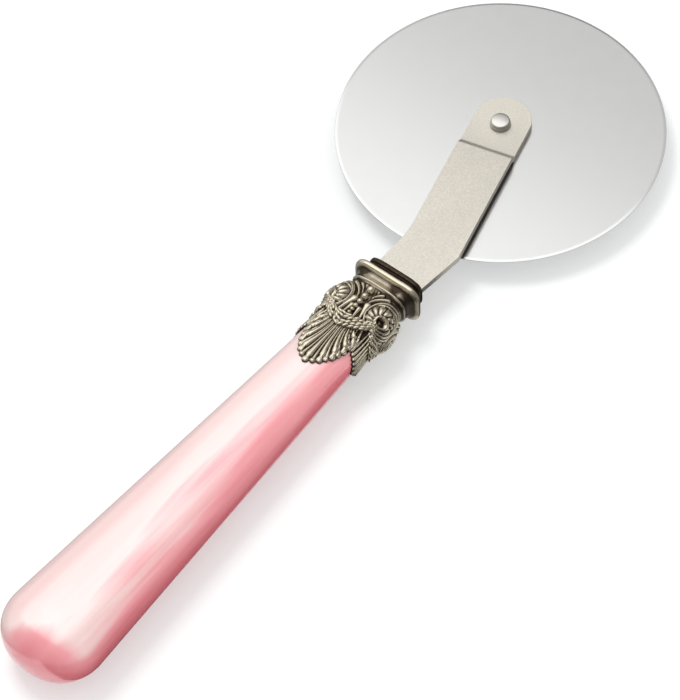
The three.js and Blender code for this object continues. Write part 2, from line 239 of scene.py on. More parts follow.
def end_shape_tree(add, end, shape, material):
    """Makes the shape's instances real, shades them smooth and gives them their material."""
    real = add("GeometryNodeRealizeInstances", {0: shape})
    smooth = add("GeometryNodeSetShadeSmooth", {0: real})
    painted = add("GeometryNodeSetMaterial", {0: smooth, "Material": material})
    fill_inputs(end, {0: painted})


def piece_from_mesh(name, mesh):
    """Links a mesh into the scene as an object at the origin."""
    piece = bpy.data.objects.new(name, mesh)
    bpy.context.scene.collection.objects.link(piece)
    return piece


def piece_from_tree(name, end, sizes, start=None):
    """Evaluates the Geometry Nodes tree of an end on a start mesh and keeps the result as a plain mesh."""
    tree = end.id_data
    piece = piece_from_mesh(name, start or bpy.data.meshes.new(name))
    modifier = piece.modifiers.new("Shape", "NODES")
    modifier.node_group = tree
    for item in tree.interface.items_tree:
        if item.in_out == "INPUT" and item.name in sizes:
            modifier[item.identifier] = sizes[item.name]
    graph = bpy.context.evaluated_depsgraph_get()
    mesh = bpy.data.meshes.new_from_object(piece.evaluated_get(graph))
    piece.modifiers.remove(modifier)
    piece.data = mesh
    return piece


def piece_from_rings(name, rings):
    """A closed skin of quads through rings of equal point counts; the last ring joins the first."""
    rows, count = rings.shape[:2]
    row, side = np.meshgrid(np.arange(rows), np.arange(count), indexing="ij")
    below = (row + 1) % rows
    beside = (side + 1) % count
    corners = [row * count + side, below * count + side, below * count + beside, row * count + beside]
    quads = np.stack(corners, -1).reshape(-1, 4)
    mesh = bpy.data.meshes.new(name)
    mesh.from_pydata(rings.reshape(-1, 3).tolist(), [], quads.tolist())
    mesh.shade_smooth()
    return piece_from_mesh(name, mesh)


def tidy_normals(piece):
    """Merges doubled points and turns every face outwards."""
    work = bmesh.new()
    work.from_mesh(piece.data)
    bmesh.ops.remove_doubles(work, verts=work.verts, dist=DOUBLE_GAP)
    bmesh.ops.dissolve_degenerate(work, edges=work.edges, dist=SLIVER_EDGE)
    bmesh.ops.recalc_face_normals(work, faces=work.faces)
    work.to_mesh(piece.data)
    work.free()


def lathe(name, profile, sides):
    """Turns a closed profile of radius and height, in metres, about the wheel's axis."""
    turns = np.linspace(0, 2 * math.pi, sides, endpoint=False)
    rings = np.array([
        [(hub.x + radius * math.cos(turn), hub.y + radius * math.sin(turn), height) for turn in turns]
        for radius, height in profile
    ])
    piece = piece_from_rings(name, rings)
    tidy_normals(piece)
    return piece


def round_corner(before, corner, after, radius):
    """Points of a rounded corner on a profile, with a guard point at each end to keep the flats flat."""
    steps = 4
    guard = 1.4
    before, corner, after = Vector(before), Vector(corner), Vector(after)
    arrive = (before - corner).normalized() * radius
    leave = (after - corner).normalized() * radius
    shares = [step / steps for step in range(steps + 1)]
    points = [corner + arrive * (1 - share) ** 2 + leave * share ** 2 for share in shares]
    return [tuple(point) for point in [corner + arrive * guard] + points + [corner + leave * guard]]


def rounded_profile(points, radii):
    """A closed profile with each corner rounded by its own radius."""
    outline = []
    for place, (corner, radius) in enumerate(zip(points, radii)):
        outline += round_corner(points[place - 1], corner, points[(place + 1) % len(points)], radius)
    return outline


# Girth of the oval casting, in millimetres

OVAL_SQUARENESS = 2.3
OVAL_POWER = 2 / OVAL_SQUARENESS
FRONT_SQUARENESS = 4.2
NECK_MIDDLE = 6.0
RING_END = 8.4
GIRTH_WIDTH = 9.6
GIRTH_HEIGHT = 6.6
GIRTH_STEPS = 4000


def measure_quarter():
    """Turn from the top to the side, against the length of girth passed."""
    turn = np.linspace(0, math.pi / 2, GIRTH_STEPS + 1)
    across = GIRTH_WIDTH * np.sin(turn) ** OVAL_POWER
    up = GIRTH_HEIGHT * np.cos(turn) ** OVAL_POWER
    steps = np.hypot(np.diff(across), np.diff(up))
    return turn, np.concatenate(([0], np.cumsum(steps)))


QUARTER_TURNS, QUARTER_ARCS = measure_quarter()
QUARTER = QUARTER_ARCS[-1]


def fold(girth):
    """Folds a girth position to one quarter, and says on which side and on which face it lies."""
    sector = np.floor(girth / QUARTER).astype(int)
    local = girth - sector * QUARTER
    folded = np.where(sector % 2 == 1, QUARTER - local, local)
    side = np.where(sector % 4 < 2, -1, 1)
    face = np.where((sector + 1) % 4 < 2, 1, -1)
    return folded, side, face


def wrap(along, girth, lift, halves):
    """Points in the frame, from millimetres behind the front, round the girth and off the surface.

    The section is squarest at the front face and settles to the handle's oval behind the ring.
    """
    folded, side, face = fold(girth)
    turn = np.interp(folded, QUARTER_ARCS, QUARTER_TURNS)
    width, height = halves
    share_across = np.sin(turn) ** OVAL_POWER
    share_up = np.cos(turn) ** OVAL_POWER
    squareness = np.interp(along, (NECK_MIDDLE, RING_END), (FRONT_SQUARENESS, OVAL_SQUARENESS))
    reach = (share_across ** squareness + share_up ** squareness) ** (-1 / squareness)
    share_across = share_across * reach
    share_up = share_up * reach
    out_across = share_across ** (squareness - 1) / width
    out_up = share_up ** (squareness - 1) / height
    out_length = np.hypot(out_across, out_up)
    across = width * share_across + lift * out_across / out_length
    up = height * share_up + lift * out_up / out_length
    return np.stack([FRONT - along * MM, AXIS_Y + side * across * MM, AXIS_Z + face * up * MM], -1)


# Mouldings in millimetres: how far each stands proud, its start, its end and how full its back is

LIP = (0.8, -0.2, 1.25, 4)
ROLL = (1.2, 2.95, 4.95, 2.6)
RING = (0.5, 7.5, 8.1, 2.5)
KNOB = (1.1, 1.9, 7.0, 2.2)

# Plain casting, with lengths in millimetres

SLOPE_START = 1.2
SLOPE_LENGTH = 2.2
SLOPE_CURVE = 1.6
FRONT_NARROWING = 0.6
FRONT_LOWERING = 1.5
NECK_HALF = 1.6
NECK_HOLLOW = 0.5
NECK_SPREAD = 0.3
BODY_END = 21.3
LEAF_LIFT = 0.2

# Where the collar's knob starts and how far it takes to rise, as shares of a quarter of the girth
KNOB_START = 0.2
KNOB_SPAN = 0.65


def bump(place, start, end, fullness):
    """A round-backed moulding of unit height between two places."""
    share = np.clip(np.abs(2 * (place - start) / (end - start) - 1), 0, 1)
    return (1 - share ** fullness) ** (1 / fullness)


def moulding(place, shape):
    """Height of one of the mouldings at a place."""
    proud, start, end, fullness = shape
    return proud * bump(place, start, end, fullness)


def ease(share):
    """A share from 0 to 1 that starts and ends gently."""
    return share ** 2 * (3 - 2 * share)


def handle_halves(along):
    """Half width and half height of the handle's straight taper, in millimetres."""
    sizes = bpy.context.scene.cutter_handle
    tip = bpy.context.scene.cutter_bolster.leaf_tip / MM
    belly = HANDLE_REACH - sizes.butt_round / MM
    share = (along - tip) / (belly - tip)
    width = sizes.front_width + (sizes.butt_width - sizes.front_width) * share
    height = sizes.front_height + (sizes.butt_height - sizes.front_height) * share
    return width / 2 / MM, height / 2 / MM


def casting_halves(along):
    """Half width and half height of the casting under its ornament."""
    sizes = bpy.context.scene.cutter_bolster
    proud = moulding(along, LIP) + moulding(along, ROLL) + moulding(along, RING)
    ahead = 1 - np.clip((along - SLOPE_START) / SLOPE_LENGTH, 0, 1) ** SLOPE_CURVE
    hollow = NECK_HOLLOW * ease(np.clip(1 - np.abs(along - NECK_MIDDLE) / NECK_HALF, 0, 1))
    front_width = sizes.neck_width / 2 / MM - FRONT_NARROWING * ahead - hollow + NECK_SPREAD
    front_height = sizes.neck_height / 2 / MM - FRONT_LOWERING * ahead - hollow
    leaf_width, leaf_height = handle_halves(along)
    blend = np.clip((along - RING_END) / (BODY_END - RING_END), 0, 1)
    width = (front_width + proud) * (1 - blend) + (leaf_width + LEAF_LIFT) * blend
    height = (front_height + proud) * (1 - blend) + (leaf_height + LEAF_LIFT) * blend
    return width, height


def knob(along, girth):
    """Extra height of the collar where it rolls over at the sides."""
    share = np.clip((girth / QUARTER - KNOB_START) / KNOB_SPAN, 0, 1)
    return ease(share) * moulding(along, KNOB)


# Garland, with lengths in millimetres

GARLAND_LOW = 22.6
GARLAND_SAG = 3.0
SIDE_SAG = 3.4
SAG_CURVE = 1.7
KNOT = 7.8
KNOT_HALF = 0.7
FACE_FULLNESS = 1.4
SIDE_FULLNESS = 0.8
FULLNESS_CURVE = 1.5
CORD_HEIGHT = 0.6
TWIST = 0.45
LEAN = 0.03


def garland_shares(girth):
    """Shares of the way from the middle of a hanging to its knot, over the face and over the side."""
    over_face = np.clip(girth / KNOT, 0, 1)
    over_side = np.clip((QUARTER - girth) / (QUARTER - KNOT), 0, 1)
    return over_face, over_side


def garland_line(girth):
    """Distance of the garland behind the front face: it sags on each face and side between knots."""
    over_face, over_side = garland_shares(girth)
    return GARLAND_LOW - GARLAND_SAG * over_face ** SAG_CURVE + SIDE_SAG * (1 - over_side ** SAG_CURVE)


def garland_half(girth):
    """Half of the garland's breadth: it is full in the middle of each hanging and thin at the knots."""
    over_face, over_side = garland_shares(girth)
    on_face = FACE_FULLNESS * (1 - over_face ** FULLNESS_CURVE)
    on_side = SIDE_FULLNESS * (1 - over_side ** FULLNESS_CURVE)
    return KNOT_HALF + on_face + on_side


def lean(along):
    """Sideways drift of the ornament behind the knots of the garland."""
    return LEAN * np.clip(along - GARLAND_LOW + GARLAND_SAG, 0, None)


# Leaves, with lengths in millimetres; a lobe is its start, bend and tip, half width and height

LOBE_STEPS = 16
LOBE_FOOT_WIDTH = 0.36
LOBE_FOOT_RISE = 0.7
SHORTEST_STEP = 1e-9
LEAF_LOBES = 4
LEAF_HALF = 7.0
LEAF_LENGTH = 12.2
LEAF_TAPER = 1.3
LEAF_ROUND = 0.85
LEAF_MARGIN = 0.9
LEAF_ROOT = 24.4
LEAF_ROOT_RISE = 1.5
LEAF_ROOT_HALF = 4.7
LEAF_BEND = (0.6, 0.2)
MIDRIB_HALF = 1.0
BULB_HEIGHT = 0.7
FOOT_LOBES = [
    ((22.3, 5.3), (24.6, 5.8), (27.0, 7.4), 0.66, 0.8),
    ((21.5, 6.5), (23.4, 6.9), (25.9, 8.0), 0.6, 0.8),
]
SIDE_LOBES = 6
SIDE_PITCH = 1.08
SIDE_TIP = 30.7
SIDE_TIP_STEP = 0.6
SIDE_ROOT = 22.4
SIDE_ROOT_STEP = 0.5
SIDE_ROOT_DRAWN = 0.86
SIDE_BEND_DRAWN = 0.9
SIDE_LOBE_HALF = 0.6
SIDE_LOBE_HEIGHT = 0.8
SHORTEST_SKIRT = 27.9

# Lobes that fill the corners between the bead row and a volute, all of one height
FOLIAGE_HEIGHT = 0.85
FOLIAGE = [
    ((20.2, 3.7), (17.4, 3.1), (14.6, 2.5), 1.25),
    ((20.6, 1.8), (18.8, 1.5), (16.8, 1.3), 0.85),
    ((14.8, 1.9), (11.6, 2.2), (9.7, 6.2), 0.75),
    ((11.9, 1.9), (10.6, 2.3), (9.5, 4.0), 0.5),
    ((9.9, 2.2), (9.7, 2.2), (9.5, 2.2), 0.5),
]

# Inset from the rim, half width and height of a lobe on the long leaf, and half width of its bulb
FULL_LOBE = (1.9, 0.92, 0.9, 1.0)
SLIM_LOBE = (0.6, 0.5, 0.6, 0.85)


def lobe(along, girth, start, bend, tip, width):
    """Height of one round-backed lobe on a bent path; it swells and rises to its half-round tip."""
    steps = np.linspace(0, 1, LOBE_STEPS + 1)[:, None]
    start, bend, tip = (np.array(point, float) for point in (start, bend, tip))
    path = start * (1 - steps) ** 2 + bend * 2 * steps * (1 - steps) + tip * steps ** 2
    best = np.full(along.shape, np.inf)
    rise = np.zeros(along.shape)
    for place, (first, second) in enumerate(zip(path[:-1], path[1:])):
        reach = second - first
        span = max(reach @ reach, SHORTEST_STEP)
        share = ((along - first[0]) * reach[0] + (girth - first[1]) * reach[1]) / span
        share = np.clip(share, 0, 1)
        gap = np.hypot(along - first[0] - share * reach[0], girth - first[1] - share * reach[1])
        passed = (place + share) / LOBE_STEPS
        apart = gap / (width * (LOBE_FOOT_WIDTH + (1 - LOBE_FOOT_WIDTH) * passed ** 2))
        rise = np.where(apart < best, LOBE_FOOT_RISE + (1 - LOBE_FOOT_RISE) * passed, rise)
        best = np.minimum(best, apart)
    return rise * np.sqrt(np.clip(1 - best ** 2, 0, 1))


def long_leaf():
    """The lobes on half of the long leaf, from its tip to its foot.

    Full lobes stop short of the rim and slim ones between them reach it; a bulb on the rim ends each.
    """
    reach = bpy.context.scene.cutter_bolster.leaf_tip / MM
    lobes = []
    for place in range(2 * LEAF_LOBES + 1):
        share = place / (2 * LEAF_LOBES)
        inset, width, height, bulb = SLIM_LOBE if place % 2 else FULL_LOBE
        rim_along = reach - LEAF_MARGIN - LEAF_LENGTH * share ** LEAF_TAPER
        rim = (rim_along, LEAF_HALF * math.sin(share * math.pi / 2) ** LEAF_ROUND)
        start = (LEAF_ROOT - LEAF_ROOT_RISE * share ** 2, LEAF_ROOT_HALF * share)
        drawn = inset / math.dist(start, rim)
        tip = tuple(edge + (foot - edge) * drawn for edge, foot in zip(rim, start))
        bend = tuple(foot * (1 - part) + end * part for foot, end, part in zip(start, tip, LEAF_BEND))
        lobes.append((start, bend, tip, width if place else MIDRIB_HALF, height))
        lobes.append((tip, tip, rim, bulb, BULB_HEIGHT))
    return lobes + FOOT_LOBES


def side_leaf():
    """The upright lobes of the leaf on the side, from its middle to the long leaf's foot."""
    lobes = []
    for place in range(SIDE_LOBES):
        girth = SIDE_PITCH * place
        tip = (SIDE_TIP - SIDE_TIP_STEP * place, girth)
        start = (SIDE_ROOT - SIDE_ROOT_STEP * place, girth * SIDE_ROOT_DRAWN)
        bend = ((start[0] + tip[0]) / 2, girth * SIDE_BEND_DRAWN)
        lobes.append((start, bend, tip, SIDE_LOBE_HALF, SIDE_LOBE_HEIGHT))
    return lobes


def skirt_edge(girth):
    """Distance of the scalloped edge behind the front face: the outline of the lobes' round tips."""
    edge = np.full(girth.shape, SHORTEST_SKIRT)
    for lobes, across in ((long_leaf(), girth), (side_leaf(), QUARTER - girth)):
        for _, _, (tip_along, tip_girth), width, _ in lobes:
            for mirrored in (tip_girth, -tip_girth):
                rise = np.sqrt(np.clip(width ** 2 - (across - mirrored) ** 2, 0, None))
                edge = np.where(rise > 0, np.maximum(edge, tip_along + rise), edge)
    return edge


# Volutes: places, radii and heights in millimetres, the rest as shares of the way in to the eye

VOLUTE_PLACE = (15.5, 9.1)
VOLUTE_DOME = 1.9
VOLUTE_GROUND = 0.2
EYE_PLACE = (16.9, 8.3)
EYE_RADIUS = 0.9
EYE_RING = (1.1, 0.78, 0.97, 2)
EYE_SINK = 0.6
COIL_PITCH = 0.19
COIL_HEIGHT = 0.95
COIL_GROOVE = 0.95
FAN_PETALS = 13
FAN_SWIRL = 0.5
FAN_SPREAD = 1.2
FAN_FACING = 1.7
FAN_START = 0.15
FAN_SHORTENING = 0.42
FAN_END = 0.84
PETAL_HEIGHT = 1.05
PETAL_GROOVE = 0.9
LEAST_SPAN = 0.01


def volute(along, girth):
    """Height of a volute: outer coils, a fan of petals and a ringed eye, on shifting circles."""
    radius = bpy.context.scene.cutter_bolster.volute_radius / MM
    shift = np.subtract(EYE_PLACE, VOLUTE_PLACE)
    shrink = EYE_RADIUS - radius
    gap_along = along - VOLUTE_PLACE[0]
    gap_girth = girth - VOLUTE_PLACE[1]
    square = shift @ shift - shrink ** 2
    middle = gap_along * shift[0] + gap_girth * shift[1] + radius * shrink
    rest = gap_along ** 2 + gap_girth ** 2 - radius ** 2
    depth = (middle + np.sqrt(np.maximum(middle ** 2 - square * rest, 0))) / square
    eye_along = along - EYE_PLACE[0]
    eye_girth = girth - EYE_PLACE[1]
    turn = np.arctan2(eye_girth, -eye_along) + FAN_SWIRL * depth
    petal = np.abs(((turn / (2 * math.pi) * FAN_PETALS) % 1) * 2 - 1)
    apart = np.hypot(eye_along, eye_girth) + LEAST_SPAN
    in_fan = np.clip(FAN_SPREAD - FAN_FACING * eye_along / apart - eye_girth / apart, 0, 1)
    outward = np.clip(0.5 + 0.5 * eye_girth / apart, 0, 1)
    fan_start = in_fan * (FAN_START + FAN_SHORTENING * outward) + (1 - in_fan) * EYE_RING[1]
    in_petal = np.abs(2 * (depth - fan_start) / (FAN_END - fan_start + LEAST_SPAN) - 1)
    fan = np.sqrt(1 - np.clip(in_petal, 0, 1) ** 2) * np.sqrt(1 - PETAL_GROOVE * petal ** 2)
    lap = np.abs((depth / COIL_PITCH) % 1 * 2 - 1)
    coils = np.where(depth < fan_start, np.sqrt(1 - COIL_GROOVE * lap ** 2), 0)
    height = np.maximum.reduce([COIL_HEIGHT * coils, PETAL_HEIGHT * fan, moulding(depth, EYE_RING)])
    dome = VOLUTE_DOME * np.clip(1 - (gap_along ** 2 + gap_girth ** 2) / radius ** 2, 0, 1)
    inside = (depth > 0) & (depth < 1)
    raised = np.maximum(height, VOLUTE_GROUND) + dome
    return np.where(inside, raised, np.where(depth >= 1, dome - EYE_SINK, 0))


def relief(along, girth):
    """Height of the cast ornament over the plain casting, for a girth folded to one quarter."""
    swag = garland_line(girth)
    ahead = along < swag
    height = np.where(ahead & (along > RING_END), volute(along, girth), 0)
    for start, bend, tip, width in FOLIAGE:
        cast = FOLIAGE_HEIGHT * lobe(along, girth, start, bend, tip, width)
        height = np.where(ahead, np.maximum(height, cast), height)
    for lobes, across in ((long_leaf(), girth), (side_leaf(), QUARTER - girth)):
        for start, bend, tip, width, top in lobes:
            cast = top * lobe(along, across, start, bend, tip, width)
            height = np.where(ahead, height, np.maximum(height, cast))
    half = garland_half(girth)
    cord = CORD_HEIGHT * bump(along, swag - half, swag + half, 2)
    return np.maximum(height, cord) + knob(along, girth)


def soften(field, rounds):
    """Blurs a field of rings; it closes on itself round the girth."""
    for _ in range(rounds):
        field = (np.roll(field, 1, 1) + 2 * field + np.roll(field, -1, 1)) / 4
        padded = np.pad(field, ((1, 1), (0, 0)), mode="edge")
        field = (padded[:-2] + 2 * field + padded[2:]) / 4
    return field


# Patina and painted shade, as shares from 0 for rubbed metal to 1 for the darkest, and their places in
# millimetres

PATINA_ROUNDS = 14
HOLLOW_DEPTH = 0.22
CAST_HOLLOWS = 0.8
TURNED_HOLLOWS = 0.45
GROUND_LIFT = 0.35
GROUND_SHARE = 0.35
COVE_END = 3.2
PATINA_FADE = 0.3
LIP_SHADE_AND_COVE_PATINA = 1.1
ROLL_SHARE = 0.1
CAST_SHARE = 0.2
# Painted shade round the collar: at the neck's corners and at the collar's side, turned a little round the
# girth so that one side takes more.
SHADE_TURN = 1.2
NECK_SHADE = (0.75, 4.7, 8.6, 4)
NECK_SHADE_GIRTH = (1, 2.5, 9.5, 1)
NECK_SHADE_CURVE = 1.5
SIDE_SHADE = (0.85, 1.0, 8.8, 4)
SIDE_SHADE_START = 7.5
SIDE_SHADE_FADE = 2.5


def patina_and_shade_depth(along, girth, lift, level):
    """How dark each point is: patina in hollows, on the ground and in the front cove, and painted shade on
    the lip, round the neck's corners and at the collar's side.
    """
    ornament = along > RING_END
    hollow = np.clip((soften(level, PATINA_ROUNDS) - level) / HOLLOW_DEPTH, -1, 1)
    hollow = np.where(ornament, CAST_HOLLOWS, TURNED_HOLLOWS) * hollow
    ground = GROUND_SHARE * np.where(ornament, np.clip(1 - lift / GROUND_LIFT, 0, 1), 0)
    places = (COVE_END, COVE_END + PATINA_FADE, RING_END - PATINA_FADE, RING_END)
    # Darkest over the lip and the front cove: painted shade on the convex lip and patina in the cove; the
    # turned roll stays nearly bright and the cast ornament a little darker.
    plain = np.interp(along, places, (LIP_SHADE_AND_COVE_PATINA, ROLL_SHARE, ROLL_SHARE, CAST_SHARE))
    # Painted shade: the neck's corners and the collar's side are darkened, more on one side, where the metal
    # falls into shade.
    folded = fold(girth + SHADE_TURN)[0]
    neck = moulding(along, NECK_SHADE) * moulding(folded, NECK_SHADE_GIRTH) ** NECK_SHADE_CURVE
    side = moulding(along, SIDE_SHADE) * np.clip((folded - SIDE_SHADE_START) / SIDE_SHADE_FADE, 0, 1)
    return np.clip(plain + hollow + ground + neck + side, 0, 1)


def keep_patina_and_shade(piece, values):
    """Stores how dark each point is, from 0 to 1: patina in recesses, and on the casting also painted shade
    round the collar.
    """
    layer = piece.data.attributes.new("patina_and_shade", "FLOAT", "POINT")
    layer.data.foreach_set("value", np.asarray(values, np.float32).ravel())


# Bolster


def inner_rings(girth, edge):
    """Rings of the room for the handle and of the slot for the tang, from the skirt's edge forwards."""
    shoulder = 26.5
    lap = 2
    floor = 10.7
    wall = 0.5
    fit = 0.05
    slot = (4.3, 1.05)
    neck = bpy.context.scene.cutter_bolster
    room = (neck.neck_width / 2 / MM - wall, neck.neck_height / 2 / MM - wall)
    flat = np.zeros_like(girth)
    for distance in (edge, np.minimum(edge, shoulder + lap), flat + shoulder):
        width, height = handle_halves(distance)
        yield distance, (width + fit, height + fit)
    for distance, shape in ((shoulder, room), (floor, room), (floor, slot), (0, slot)):
        yield flat + distance, shape


def make_casting():
    """The bolster's skin: turned front, ornament, scalloped skirt, and the room inside for the handle."""
    quarter_sides = 104
    turned_rows = 42
    cast_rows = 164
    girth = (np.arange(4 * quarter_sides) + 0.5) * QUARTER / quarter_sides
    edge = skirt_edge(fold(girth + TWIST)[0])
    edge = skirt_edge(fold(girth + TWIST - lean(edge))[0])
    turned = np.linspace(0, RING_END, turned_rows, endpoint=False)[:, None] + np.zeros_like(girth)
    cast = RING_END + (edge - RING_END) * np.linspace(0, 1, cast_rows)[:, None]
    along = np.concatenate([turned, cast])
    lift = soften(relief(along, fold(girth + TWIST - lean(along))[0]), 1)
    halves = casting_halves(along)
    patina_and_shade = patina_and_shade_depth(along, girth, lift, halves[1] + lift)
    outside = wrap(along, girth, lift, halves)
    inside = np.array([wrap(distance, girth, 0, shape) for distance, shape in inner_rings(girth, edge)])
    piece = piece_from_rings("bolster_casting", np.concatenate([outside, inside]))
    keep_patina_and_shade(piece, np.concatenate([patina_and_shade, np.ones(inside.shape[:2])]))
    tidy_normals(piece)
    return piece


def wrap_piece(piece, low, high):
    """Wraps a piece that was laid out flat, and keeps its points below a height as recesses."""
    flat = np.empty(len(piece.data.vertices) * 3)
    piece.data.vertices.foreach_get("co", flat)
    along, girth, lift = (flat.reshape(-1, 3) / MM).T
    placed = wrap(along, girth - TWIST + lean(along), lift, casting_halves(along))
    piece.data.vertices.foreach_set("co", placed.ravel())
    keep_patina_and_shade(piece, np.clip((high - lift) / (high - low), 0, 1))
    tidy_normals(piece)


def make_beads(metal):
    """Rows of shrinking beads down the middle of the top and of the underside."""
    sizes = bpy.context.scene.cutter_bolster
    add, size, end = new_shape_tree("bead_row", ["First Diameter", "Shrink", "Count", "Start", "Lift"])
    spots = add("GeometryNodeMeshLine", {"Count": size["Count"]})
    index = add("GeometryNodeInputIndex")
    scale = add("ShaderNodeMath", {0: size["Shrink"], 1: index}, operation="POWER")
    left = add("ShaderNodeMath", {0: 1.0, 1: scale}, operation="SUBTRACT")
    loss = add("ShaderNodeMath", {0: 1.0, 1: size["Shrink"]}, operation="SUBTRACT")
    passed = add("ShaderNodeMath", {0: left, 1: loss}, operation="DIVIDE")
    along = add(
        "ShaderNodeMath", {0: passed, 1: size["First Diameter"], 2: size["Start"]},
        operation="MULTIPLY_ADD")
    place = add("ShaderNodeCombineXYZ", {"X": along, "Z": size["Lift"]})
    spread = add("GeometryNodeSetPosition", {"Geometry": spots, "Position": place})
    width = add("ShaderNodeMath", {0: scale, 1: size["First Diameter"]}, operation="MULTIPLY")
    ball = add("GeometryNodeMeshUVSphere", {"Segments": 20, "Rings": 12, "Radius": 0.5})
    beads = add("GeometryNodeInstanceOnPoints", {"Points": spread, "Instance": ball, "Scale": width})
    beneath = add("GeometryNodeTransform", {"Geometry": beads, "Translation": (0, 2 * QUARTER * MM, 0)})
    both = add("GeometryNodeJoinGeometry")
    for row in (beads, beneath):
        fill_inputs(both, {0: row})
    end_shape_tree(add, end, both, metal)
    piece = piece_from_tree("bolster_beads", end, {
        "First Diameter": sizes.first_bead,
        "Shrink": 0.84,
        "Count": float(sizes.bead_count),
        "Start": 10.3 * MM,
        "Lift": 0.65 * MM,
    })
    wrap_piece(piece, low=0.0, high=0.4)
    return piece


# Rows of the garland's leaves: how far behind its line and how high, in millimetres

FACE_ROWS = ((-0.7, 0.9), (0.7, 0.9), (-2.0, 0.65), (2.0, 0.65))
SIDE_ROWS = ((0.0, 1.0), (-1.2, 0.8), (1.2, 0.8))
KNOT_SPREAD = 0.3


def garland_path():
    """Middle lines laid flat, as chains of edges: out to the knots on each face, and on over each side."""
    count = 24
    share = np.linspace(0, 1, count)
    out = KNOT * share
    back = (QUARTER - KNOT) * (1 - share)
    spread = KNOT_SPREAD + (1 - KNOT_SPREAD) * share
    points = []
    edges = []
    for middles, rows, across, line, open_share in (
            ((0, 2 * QUARTER), FACE_ROWS, out, garland_line(out), spread[::-1]),
            ((QUARTER, 3 * QUARTER), SIDE_ROWS, back, garland_line(QUARTER - back), spread)):
        for middle in middles:
            for way in (-1, 1):
                for behind, lift in rows:
                    edges += [(len(points) + step, len(points) + step + 1) for step in range(count - 1)]
                    chain = [line + behind * open_share, middle + way * across, np.full(count, lift)]
                    points += (np.stack(chain, -1) * MM).tolist()
    mesh = bpy.data.meshes.new("garland_path")
    mesh.from_pydata(points, edges, [])
    return mesh


def make_garland(metal):
    """Leaves in rows along the garland, each lapped over the next and turned a little at random."""
    foot_breadth = 0.5
    point_breadth = 0.34
    stem_shift = (0.4, 0, 0)
    sizes = bpy.context.scene.cutter_bolster
    add, size, end = new_shape_tree("leaf_garland", ["Leaf Length", "Spacing", "Turn", "Spread", "Tilt"])
    line = add("GeometryNodeMeshToCurve", {"Mesh": size["Geometry"]})
    spots = add("GeometryNodeResampleCurve", {"Curve": line, "Length": size["Spacing"]}, mode="LENGTH")
    tangent = add("GeometryNodeInputTangent")
    heading = add("FunctionNodeAlignRotationToVector", {"Vector": tangent}, axis="X")
    ball = add("GeometryNodeMeshUVSphere", {"Segments": 8, "Rings": 7, "Radius": 0.5})
    spot = add("GeometryNodeInputPosition")
    parts = add("ShaderNodeSeparateXYZ", {0: spot})
    narrow = add(
        "ShaderNodeMapRange",
        {"Value": parts.outputs["X"], "From Min": -0.5, "From Max": 0.5,
         "To Min": foot_breadth, "To Max": point_breadth})
    taper = add("ShaderNodeCombineXYZ", {"X": 1.0, "Y": narrow, "Z": narrow})
    shaped = add("ShaderNodeVectorMath", {0: spot, 1: taper, 2: stem_shift}, operation="MULTIPLY_ADD")
    leaf = add("GeometryNodeSetPosition", {"Geometry": ball, "Position": shaped})
    away = add("ShaderNodeMath", {0: size["Spread"], 1: -1.0}, operation="MULTIPLY")
    sway = add("FunctionNodeRandomValue", {2: away, 3: size["Spread"], "Seed": 7})
    course = add("ShaderNodeSeparateXYZ", {0: tangent})
    way = add("ShaderNodeMath", {0: course.outputs["Y"]}, operation="SIGN")
    aside = add("ShaderNodeMath", {0: way, 1: size["Turn"], 2: sway.outputs[1]}, operation="MULTIPLY_ADD")
    turned = add("ShaderNodeCombineXYZ", {"Y": size["Tilt"], "Z": aside})
    swing = add("FunctionNodeEulerToRotation", {0: turned})
    facing = add("FunctionNodeRotateRotation", {0: heading, 1: swing}, rotation_space="LOCAL")
    rows = add(
        "GeometryNodeInstanceOnPoints",
        {"Points": spots, "Instance": leaf, "Rotation": facing, "Scale": size["Leaf Length"]})
    end_shape_tree(add, end, rows, metal)
    piece = piece_from_tree("bolster_garland", end, {
        "Leaf Length": sizes.garland_leaf,
        "Spacing": 1.3 * MM,
        "Turn": math.radians(24),
        "Spread": math.radians(22),
        "Tilt": math.radians(-12),
    }, garland_path())
    wrap_piece(piece, low=0.3, high=0.95)
    return piece


class CUTTER_OT_bolster(Operator):
    """Build the cast bolster with its volutes, leaves, beads and garland"""

    bl_idname = "cutter.bolster"
    bl_label = "Bolster"

    def execute(self, context):
        metal = antique_metal()
        casting = make_casting()
        beads = make_beads(metal)
        garland = make_garland(metal)
        casting.data.materials.append(metal)
        for piece in (casting, beads, garland):
            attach(piece, "cutter")
        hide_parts("bolster")
        return {"FINISHED"}


# Handle, arm, wheel and rivet


